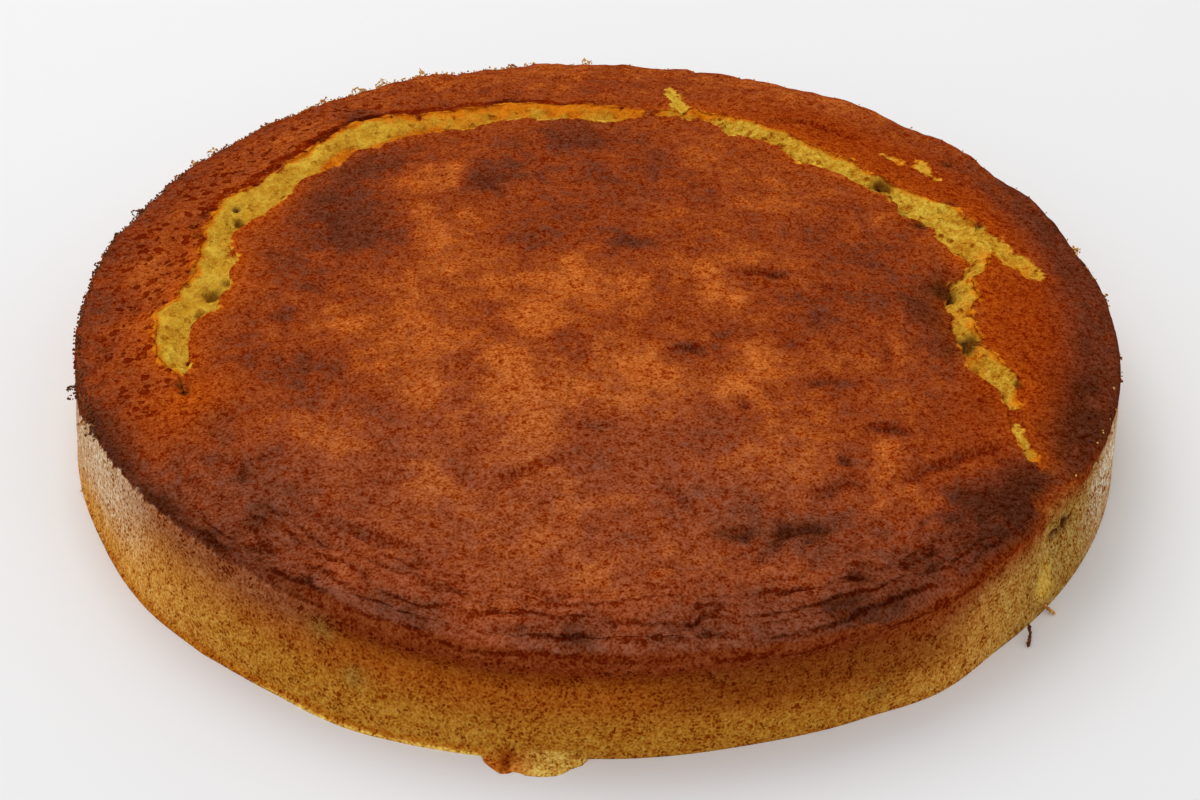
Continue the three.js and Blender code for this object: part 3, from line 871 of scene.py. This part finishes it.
class Flow:
    """A value that varies over a surface. Sums, products and the like add Math nodes to its material."""

    def __init__(self, tree, socket=None):
        self.tree = tree
        self.socket = socket

    def node(self, kind, settings=None, sockets=None, output=0):
        """Adds a node: its settings first, then the values or links of its sockets. Gives one output."""
        made = self.tree.nodes.new(kind)
        for name, value in (settings or {}).items():
            setattr(made, name, value)
        for name, value in (sockets or {}).items():
            if isinstance(value, Flow):
                self.tree.links.new(value.socket, made.inputs[name])
            else:
                made.inputs[name].default_value = value
        return Flow(self.tree, made.outputs[output] if made.outputs else None)

    def math(self, operation, *values):
        return self.node("ShaderNodeMath", {"operation": operation}, dict(enumerate(values)))

    def __add__(self, other):
        return self.math("ADD", self, other)

    __radd__ = __add__

    def __sub__(self, other):
        return self.math("SUBTRACT", self, other)

    def __rsub__(self, other):
        return self.math("SUBTRACT", other, self)

    def __mul__(self, other):
        return self.math("MULTIPLY", self, other)

    __rmul__ = __mul__

    def __abs__(self):
        return self.math("ABSOLUTE", self)

    def most(self, other):
        return self.math("MAXIMUM", self, other)

    def step(self, low, high):
        """0 below low, 1 above high, an S between."""
        sockets = {"Value": self, "From Min": low, "From Max": high}
        return self.node("ShaderNodeMapRange", {"interpolation_type": "SMOOTHSTEP"}, sockets)

    def between(self, first, second):
        """A colour mixed from first at 0 to second at 1."""
        colours = [c if isinstance(c, Flow) else (*c, 1) for c in (first, second)]
        sockets = {0: self, 6: colours[0], 7: colours[1]}
        return self.node("ShaderNodeMix", {"data_type": "RGBA"}, sockets, output=2)

    def grained(self, shade):
        """A colour with a baked grain: deep and red where the shade is below 0, pale where it is above, and
        the bluish pale tint is a painted sheen.
        """
        deep = (shade * 1.25 + 1).between(GRAIN_DEEP, (1, 1, 1))
        tint = shade.between(deep, GRAIN_SHEEN)
        return self.node("ShaderNodeVectorMath", {"operation": "MULTIPLY"}, {0: self, 1: tint})

    def attribute(self, name, output="Fac"):
        return self.node("ShaderNodeAttribute", {"attribute_name": name}, output=output)

    def placed(self, seed, stretch=(1, 1, 1), place=None):
        """Object coordinates or another place in metres, stretched, and moved apart by a seed."""
        place = place or self.node("ShaderNodeTexCoord", output="Object")
        sockets = {0: place, 1: stretch, 2: (seed, 0.37 * seed, -seed)}
        return self.node("ShaderNodeVectorMath", {"operation": "MULTIPLY_ADD"}, sockets)

    def spots(self, size, seed):
        """Distance from the nearest of scattered points, in spacings of a size in millimetres."""
        sockets = {"Vector": self.placed(seed), "Scale": 1 / (size * MM)}
        return self.node("ShaderNodeTexVoronoi", None, sockets)

    def mottle(self, size, detail, seed, stretch=(1, 1, 1), place=None):
        """Noise from 0 to 1 with lumps of a size in millimetres."""
        sockets = {"Vector": self.placed(seed, stretch, place), "Scale": 1 / (size * MM), "Detail": detail}
        return self.node("ShaderNodeTexNoise", None, sockets)

    def surface(self, colour, roughness, height, depth, specular):
        """Closes a material: a shader of a colour and roughness, with a bump of a depth in millimetres."""
        bump = self.node("ShaderNodeBump", None, {"Height": height, "Distance": depth * MM, "Strength": 1.0})
        shader = self.node("ShaderNodeBsdfPrincipled", None, {
            "Base Color": colour,
            "Roughness": roughness,
            "Normal": bump,
            "Specular IOR Level": specular,
        })
        self.node("ShaderNodeOutputMaterial", None, {"Surface": shader})


def bare_material(name):
    """A material with no nodes yet, and a Flow to build them with."""
    material = bpy.data.materials.new(name)
    material.use_nodes = True
    material.node_tree.nodes.clear()
    return material, Flow(material.node_tree)


# Tints of the grain at its darkest and palest; the pale one, bluer than the crust, is a painted sheen.
GRAIN_DEEP = (0.55, 0.2, 0.0)
GRAIN_SHEEN = (1.46, 2.05, 3.5)
CRUST_GOLD = linear(185, 91, 30)
CRUST_MID = linear(143, 59, 20)
CRUST_DARK = linear(107, 48, 24)
CRUST_BURNT = linear(77, 35, 17)
CRUST_TAN = linear(144, 74, 42)
# Browner crust with painted shade where the lower edge curls under at the front.
TUCKED_BROWN_AND_SHADE = linear(124, 52, 16)
CRUST_RED = linear(148, 52, 5)
CRUST_ORANGE = linear(175, 72, 8)
CRUMB_YELLOW = linear(200, 148, 40)
CRUMB_ORANGE = linear(202, 108, 14)
# Painted shade in the small hollows.
HOLLOW_SHADE_COLOUR = linear(80, 38, 10)
# The four noises that all the finishes share, from broad to fine: size in millimetres, detail and seed.
TONES = [(12.0, 3, 1), (4.2, 3, 2), (1.5, 2, 3), (0.6, 1, 4)]
FOLDS_PER_MM = 0.23
# How much the marks darken the crust's brown, as painted shade in folds and creases, and how much painted
# shade darkens the holes, and how deep they sink into the skin.
FOLD_SHADE_BROWN = 0.5
CREASE_SHADE_BROWN = 0.8
PIT_HOLE = 0.12
FOLD_HOLE = 0.75
CREASE_HOLE = 0.35
CRUMB_HOLE = 0.5
SIDE_HOLES = (0.32, 0.67)
# How much lighter or darker the grain is, over all and in each kind of mark: the painted glints, the painted
# highlight above the crust's curl at the front, and the painted shade at the split's outer lip.
MEAN_SHADE = 0.06
STREAK_SHADE = 3.4
GLINT_SHADE = 0.8
RIDGE_HIGHLIGHT = 0.22
LIP_SHADE = 0.8
SKIN_ROUGHNESS = (0.6, 0.85)
SKIN_BUMP = 1.0


def uneven(tones, weights):
    """A sum of the four noises about 0, by their weights. A weight of 0 leaves its noise out."""
    return sum((tone - 0.5) * weight for tone, weight in zip(tones, weights) if weight)


def pores(skin, tones, size, seed, weights, low, high):
    """1 in scattered pores with uneven edges."""
    return 1 - (skin.spots(size, seed) + uneven(tones, weights)).step(low, high)


def crust_folds(skin, tones):
    """1 in the folds between wrinkles, painted with shade: every few millimetres across the rings, broken
    along them.
    """
    lay = skin.attribute("lay", "Vector")
    waves = skin.attribute("fall") + (skin.mottle(7.0, 1.5, 5, place=lay) - 0.5) * 12.0
    waves = (waves + uneven(tones, (0, 3.0))) * FOLDS_PER_MM
    waves = abs(skin.math("FRACT", waves) - 0.5)
    broken = skin.mottle(2.8, 2, 14, place=lay).step(0.36, 0.54)
    return (1 - waves.step(0.0, 0.27)) * broken * skin.attribute("wrinkled")


def crease_shading(skin, tones):
    """Painted shade along each crease by its depth, with a wandering edge."""
    depth = skin.attribute("crease_depth")
    distance = abs(skin.attribute("crease") + uneven(tones, (0, 1.6, 0.5)))
    return (1 - (distance - depth * 0.5).step(-0.4, 2.4)) * depth


def burnt_and_shadowed_lip(skin, tones):
    """A band just outside the split's outer lip, burnt crust and painted shade at the overhanging lip, with a
    wandering edge.
    """
    distance = abs(skin.attribute("beyond") - 2.6 + uneven(tones, (4.0, 3.0, 1.2)))
    return (1 - distance.step(1.0, 2.8)) * skin.attribute("seared_and_shadowed")


def crust_colour(skin, tones, marks, tucked):
    """Crust from golden to burnt brown by its darkness and marks, both carrying painted shade, tan in front,
    red and orange by the split, and browner with painted shade where it curls under at the front.
    """
    small = tones[1]
    patchy = uneven(tones, (1.6, 2.4, 1.2)) * (1 - 0.4 * skin.attribute("wrinkled"))
    brown = skin.attribute("crust_darkness") + patchy + marks
    crust = brown.step(-1.2, 0.1).between(CRUST_GOLD, CRUST_MID)
    crust = brown.step(-0.1, 1.1).between(crust, CRUST_DARK)
    crust = (skin.attribute("tanned") * 0.4).between(crust, CRUST_TAN)
    crust = brown.step(0.9, 2.2).between(crust, CRUST_BURNT)
    crust = (skin.attribute("reddened") * (0.5 + small * 0.6)).between(crust, CRUST_RED)
    crust = (skin.attribute("singed") * (0.35 + small * 1.2)).between(crust, CRUST_ORANGE)
    return (tucked * 0.92).between(crust, TUCKED_BROWN_AND_SHADE)


def crumb_colour(skin, tones, bare):
    """Yellow crumb, orange where it toasted and along its edges."""
    edge = (1 - bare.step(-0.6, 1.4)) * 0.75
    toasted = skin.attribute("toast").most(edge) + uneven(tones, (1.2, 1.6))
    return toasted.step(0.25, 0.95).between(CRUMB_YELLOW, CRUMB_ORANGE)


def sponge_material():
    """Dark crust, yellow crumb and porous side in one skin, told apart by the mesh's own attributes."""
    material, skin = bare_material("baked_sponge")
    tones = [skin.mottle(*row) for row in TONES]
    broad, small, fine, grain = tones

    fall = skin.attribute("fall") + uneven(tones, (0, 3.0, 1.8))
    side_mask = (fall * skin.attribute("sharpness")).step(-0.5, 0.5)
    bare = skin.attribute("bare") + uneven(tones, (0, 6.0, 2.6))
    crumb_mask = bare.step(-0.7, 0.6)
    soft = side_mask.most(crumb_mask)

    # The crust's curl at the front: a browner band with painted shade, and a painted highlight on the crest
    # above it.
    curled = skin.attribute("curled")
    tucked = curled * fall.step(-3.7, -2.7)
    lit_ridge = curled * fall.step(-8.0, -5.2) * (1 - fall.step(-4.4, -3.2))
    fold = crust_folds(skin, tones)
    crease = crease_shading(skin, tones)
    lip = burnt_and_shadowed_lip(skin, tones)
    marks = fold * FOLD_SHADE_BROWN + crease * CREASE_SHADE_BROWN + lip * broad.step(0.4, 0.6)

    crust = crust_colour(skin, tones, marks, tucked)
    colour = side_mask.between(crust, skin.attribute("side_tone", "Color"))
    colour = crumb_mask.between(colour, crumb_colour(skin, tones, bare))
    # Painted shade in the small hollows.
    colour = (skin.attribute("hollow_shade") * (0.5 + small * 0.8)).between(colour, HOLLOW_SHADE_COLOUR)

    pits = pores(skin, tones, 2.3, 6, (0, 0, 0.9), -0.05, 0.14)
    ring_pits = pores(skin, tones, 3.2, 12, (0, 0.6, 0.9), 0.18, 0.36) * skin.attribute("pitted")
    crumb_pores = pores(skin, tones, 3.6, 7, (0, 0, 0.6), 0.1, 0.28)
    side_pores = pores(skin, tones, 1.3, 8, (0, 1.2, 0, 1.4), 0.0, 0.25)
    near_crust = 1 - fall.step(0.5, 4.5)
    # Painted shade in the holes: pits, pores, folds and creases.
    holes = (1 - soft) * (pits * PIT_HOLE + ring_pits + fold * FOLD_HOLE + crease * CREASE_HOLE)
    holes = holes + side_mask * side_pores * lerp(*SIDE_HOLES, near_crust)
    holes = holes + crumb_mask * crumb_pores * CRUMB_HOLE

    streaks = (skin.mottle(0.8, 2, 9, (1, 1, 0.4)) - 0.5) * skin.attribute("torn")
    # Painted glints: pale specks scattered over the crust.
    glint_flecks = (1 - skin.spots(8.0, 11).step(0.02, 0.06)) * broad.step(0.5, 0.6) * (1 - soft)
    small_share = 0.5 + crumb_mask * 1.7 + side_mask * 0.4
    fine_share = 2.9 - soft * 1.1
    grain_share = 3.2 - side_mask * 0.4 - crumb_mask * 1.8
    shade = uneven(tones, (0, small_share, fine_share, grain_share)) - holes
    shade = shade + streaks * STREAK_SHADE + glint_flecks * GLINT_SHADE
    calm = 1 - soft * (1 - skin.attribute("crumbly"))
    shade = shade * calm + MEAN_SHADE + lit_ridge * RIDGE_HIGHLIGHT - (1 - crumb_mask) * lip * LIP_SHADE

    height = (fine - 0.5) * 0.7 + (grain - 0.5) * 0.3 + streaks - holes * 0.6
    skin.surface(colour.grained(shade), lerp(*SKIN_ROUGHNESS, soft), height, SKIN_BUMP, specular=0.0)
    return material


cake_mesh.materials.append(sponge_material())
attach(cake, "root")
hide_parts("cake")


# The crumbs: shreds of crust and crumb that the tin pulled up as the cake was turned out. Most cling to the
# rim as lacy loops and a short fringe, and a few hang on the foot. Each shred is a chain of tiny lumps.

# Shreds: angle in degrees, radius and height of the root, reach out, length along the rim, lift, brownness.
SHREDS = [
    (92.5, 128, 27.5, 1.6, 2, 1.4, 0.2), (102, 128, 27.5, 1.2, 2, 0.8, 0.5),
    (113.5, 128, 27.5, 2.2, 3, 2.4, 0.2), (119.5, 128, 27.5, 2.6, 5, 1.6, 0.3),
    (122.5, 128, 27.2, 2.4, 5, 1.4, 0.3), (127.5, 128, 27.2, 2.4, 4, 1.6, 0.4),
    (129.5, 128, 27.0, 2.6, 5, 1.0, 0.3), (136.5, 128, 27.0, 1.6, 3, 0.8, 0.4),
    (145.5, 128, 27.0, 2.6, 5, 1.5, 0.3), (148, 128, 26.6, 2.8, 5, 1.0, 0.4),
    (151, 128, 26.6, 2.4, 4, 0.8, 0.5), (160.5, 128, 26.6, 2.0, 4, 0.8, 0.8),
    (165.5, 128, 26.4, 1.8, 4, 0.5, 0.9), (172, 128, 26.4, 1.4, 4, 0.4, 0.9),
    (181, 128, 26.2, 1.2, 3, 0.3, 0.9), (195.5, 128, 25.8, 3.6, 3, 0.4, 0.95),
    (196.6, 128, 25.2, 3.2, 2, -0.6, 0.9), (200.6, 128, 24.6, 3.0, 3, -1.0, 0.5),
    (201.6, 128, 23.6, 2.4, 2, -1.6, 0.8), (16, 128, 27.0, 1.4, 3, 0.3, 0.3),
    (6.3, 128, 26.8, 1.8, 1, 0.6, 0.95), (354.7, 128, 26.4, 1.2, 1, 0.2, 0.7),
    (350.8, 128, 26.2, 1.0, 1, 0.1, 0.7), (207, 130, 0.9, 1.4, 1.5, 0.3, 0.2),
    (199, 130, 0.9, 1.2, 1.5, 0.4, 0.2),
]
SHRED_LUMPS = 16
SHRED_STRANDS = 3
SHRED_LUMP_SIZE = 0.2
# Single strands that hang from the torn patch to the floor: brownness, then the points along each.
STRANDS = [
    (1.0, (99.8, -85, 2.5), (100, -87.1, 1.2), (99.3, -90.1, 0.5)),
    (0.35, (104.4, -75.7, 2.5), (104.6, -77.2, 1.2), (106.6, -78.8, 0.6)),
]
STRAND_LUMPS = 26
STRAND_LUMP_SIZE = 0.36
# The fringe: from which angle to which it is thick and thin, and how many lumps each stretch has.
FRINGE_THICK = (98, 206)
FRINGE_THIN = (-30, 98)
FRINGE_LUMPS = 900
FRINGE_SPARE_LUMPS = 60
FRINGE_LUMP_SIZE = 0.22
draws = np.random.default_rng(23)


def shred_path(row):
    """Centres along the loops of one shred: out and back by sin(pi t), along by t, with small steps."""
    angle, root_r, root_z, reach, length, lift = row[:6]
    t = np.linspace(0, 1, SHRED_LUMPS)
    centres = []
    for strand in range(SHRED_STRANDS):
        grown = draws.uniform(0.45, 1.0)
        out = root_r - 0.2 + grown * reach * np.sin(np.pi * t) ** 0.8
        along = np.degrees((t - 0.5) * length * draws.uniform(0.5, 1.1) / root_r)
        turned = angle + along + draws.normal(0, 0.35)
        up = root_z + grown * lift * np.sin(np.pi * t)
        step = np.cumsum(draws.normal(0, 0.16, (SHRED_LUMPS, 3)), axis=0)
        step = step - lerp(step[:1], step[-1:], t[:, None])
        x, y = plan(out, turned)
        centres.append(np.stack([x, y, np.maximum(up, 0.45)], axis=-1) + step * [1, 1, 0.8])
    return np.vstack(centres)


def strand_path(points):
    """Centres along a strand: even steps from point to point, shaken a little."""
    row = np.linspace(0, len(points) - 1, STRAND_LUMPS)
    centres = np.stack([np.interp(row, np.arange(len(points)), axis) for axis in zip(*points)], axis=-1)
    return centres + draws.normal(0, 0.08, centres.shape)


def fringe_places():
    """Centres and brownness of the fringe: thick and brown at the back left of the rim, thin elsewhere."""
    thick = draws.uniform(*FRINGE_THICK, FRINGE_LUMPS)
    thin = draws.uniform(*FRINGE_THIN, FRINGE_SPARE_LUMPS)
    turned = np.concatenate([thick, thin])
    slope = draws.uniform(0.1, 0.9, len(turned)) * SHOULDER_START
    proud = draws.uniform(-0.1, 0.6, len(turned))
    radius = RIM_RADIUS - TIGHT_SHOULDER * (1 - np.cos(slope)) + proud * np.cos(slope)
    height = shoulder_foot(turned) + TIGHT_SHOULDER * np.sin(slope) + proud * np.sin(slope)
    brown = 0.3 + 0.6 * smooth(turned, 115, 165) + draws.normal(0, 0.1, len(turned))
    x, y = plan(radius, turned)
    return np.stack([x, y, height], axis=-1), brown


def twenty_sided_ball():
    """Corners and outward faces of a regular ball of twenty triangles."""
    golden = (1 + math.sqrt(5)) / 2
    pairs = itertools.product((-1, 1), (-golden, golden))
    corners = np.array([np.roll((0, a, b), shift) for a, b in pairs for shift in range(3)])
    faces = []
    for trio in itertools.combinations(range(12), 3):
        a, b, c = corners[list(trio)]
        if max(np.linalg.norm(a - b), np.linalg.norm(b - c), np.linalg.norm(c - a)) < 2.1:
            outward = np.dot(np.cross(b - a, c - a), a) > 0
            faces.append(trio if outward else trio[::-1])
    return corners / np.linalg.norm(corners[0]), np.array(faces)


def lump_mesh(name, centres, sizes, brown):
    """One mesh of uneven lumps: a ball at each centre, its corners moved, then stretched and turned."""
    ball, faces = twenty_sided_ball()
    count = len(centres)
    uneven_balls = ball[None] * draws.uniform(0.65, 1.3, (count, len(ball), 1))
    uneven_balls = uneven_balls * draws.uniform(0.7, 1.4, (count, 1, 3))
    turned = np.linalg.qr(draws.normal(size=(count, 3, 3)))[0]
    turned = turned * np.sign(np.linalg.det(turned))[:, None, None]
    points = centres[:, None] + sizes[:, None, None] * np.einsum("nij,nkj->nki", turned, uneven_balls)
    index = faces[None] + len(ball) * np.arange(count)[:, None, None]
    mesh = bpy.data.meshes.new(name)
    mesh.from_pydata((points.reshape(-1, 3) * MM).tolist(), [], index.reshape(-1, 3).tolist())
    values = np.repeat(brown, len(ball)).astype(np.float32)
    mesh.attributes.new("brownness", "FLOAT", "POINT").data.foreach_set("value", values)
    mesh.update()
    return mesh


shred_centres = np.vstack([shred_path(row) for row in SHREDS])
shred_brown = np.repeat([row[-1] for row in SHREDS], SHRED_LUMPS * SHRED_STRANDS)
strand_centres = np.vstack([strand_path(row[1:]) for row in STRANDS])
strand_brown = np.repeat([row[0] for row in STRANDS], STRAND_LUMPS)
fringe_centres, fringe_brown = fringe_places()
crumb_centres = np.vstack([shred_centres, strand_centres, fringe_centres])
crumb_sizes = np.concatenate([
    SHRED_LUMP_SIZE * draws.uniform(0.6, 1.4, len(shred_centres)),
    STRAND_LUMP_SIZE * draws.uniform(0.8, 1.2, len(strand_centres)),
    FRINGE_LUMP_SIZE * draws.uniform(0.6, 1.5, len(fringe_centres)),
])
crumb_brown = np.concatenate([shred_brown, strand_brown, fringe_brown])
crumb_brown = crumb_brown + draws.normal(0, 0.12, len(crumb_centres))
crumb_mesh = lump_mesh("clinging_crumbs", crumb_centres, crumb_sizes, crumb_brown)
crumbs = add_object("clinging_crumbs", crumb_mesh)

SHRED_GOLD = linear(226, 176, 92)
SHRED_BROWN = linear(158, 92, 40)
SHRED_DARK = linear(84, 42, 18)
SHRED_ROUGHNESS = (0.75, 0.95)
SHRED_BUMP = 0.3


def shred_material():
    """Dry crumb from golden to dark brown, by each lump's own brownness."""
    material, lump = bare_material("dry_crumb")
    grain = lump.mottle(0.4, 2, 1)
    brown = lump.attribute("brownness") + (grain - 0.5) * 0.6
    colour = brown.step(0.15, 0.6).between(SHRED_GOLD, SHRED_BROWN)
    colour = brown.step(0.55, 1.0).between(colour, SHRED_DARK)
    lump.surface(colour, lerp(*SHRED_ROUGHNESS, grain), grain, SHRED_BUMP, specular=0.15)
    return material


crumb_mesh.materials.append(shred_material())
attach(crumbs, "root")


# The floor: a plain pale table top, flat and matt and far wider than the view. The cake stands on it, and it
# is there for the picture alone.

FLOOR_HALF = 6.0
FLOOR_PALE = (0.86, 0.86, 0.865, 1)
floor_mesh = bpy.data.meshes.new("floor")
floor_corners = [(-1, -1), (1, -1), (1, 1), (-1, 1)]
floor_mesh.from_pydata([(a * FLOOR_HALF, b * FLOOR_HALF, 0) for a, b in floor_corners], [], [(0, 1, 2, 3)])
floor = add_object("floor", floor_mesh)
floor_material = bpy.data.materials.new("pale_floor")
floor_material.use_nodes = True
floor_shader = floor_material.node_tree.nodes["Principled BSDF"]
floor_shader.inputs["Base Color"].default_value = FLOOR_PALE
floor_shader.inputs["Roughness"].default_value = 0.9
floor_shader.inputs["Specular IOR Level"].default_value = 0.1
floor_mesh.materials.append(floor_material)


# The light: a wide soft panel above and behind the cake, a weaker one at the front left, and a pale surround
# that fills the shade.

# Panels: place in metres, size and power in watts.
PANELS = {
    "panel_behind": ((-0.5, 0.75, 1.4), 1.2, 10),
    "panel_front": ((-0.7, -1.3, 0.9), 1.6, 4),
}
SURROUND_STRENGTH = 0.70


def soft_panel(name, place, size, power):
    """A square area light that faces the cake."""
    data = bpy.data.lights.new(name, "AREA")
    data.size = size
    data.energy = power
    lamp = add_object(name, data)
    lamp.location = place
    lamp.rotation_mode = "QUATERNION"
    lamp.rotation_quaternion = (-Vector(place)).to_track_quat("-Z", "Y")


for name, row in PANELS.items():
    soft_panel(name, *row)
world = bpy.data.worlds.new("surround")
world.use_nodes = True
world.node_tree.nodes["Background"].inputs["Color"].default_value = (1, 1, 1, 1)
world.node_tree.nodes["Background"].inputs["Strength"].default_value = SURROUND_STRENGTH
bpy.context.scene.world = world
bpy.context.scene.view_settings.view_transform = "Standard"


# The camera: a short telephoto at the photograph's height and framing. It is held a little askew, so it is
# turned about its own axis.

CAMERA_PLACE = Vector((0, -0.546125, 0.396790))
CAMERA_AIM = Vector((0.00076, 0.00171, 0))
CAMERA_ROLL = 0.0243
CAMERA_LENS = 79.45
camera_data = bpy.data.cameras.new("camera")
camera_data.lens = CAMERA_LENS
camera_data.sensor_width = 36
camera_data.clip_start = 0.01
camera = add_object("camera", camera_data)
camera.location = CAMERA_PLACE
camera.rotation_mode = "QUATERNION"
look = (CAMERA_AIM - CAMERA_PLACE).to_track_quat("-Z", "Y")
camera.rotation_quaternion = look @ Matrix.Rotation(CAMERA_ROLL, 3, "Z").to_quaternion()
bpy.context.scene.camera = camera
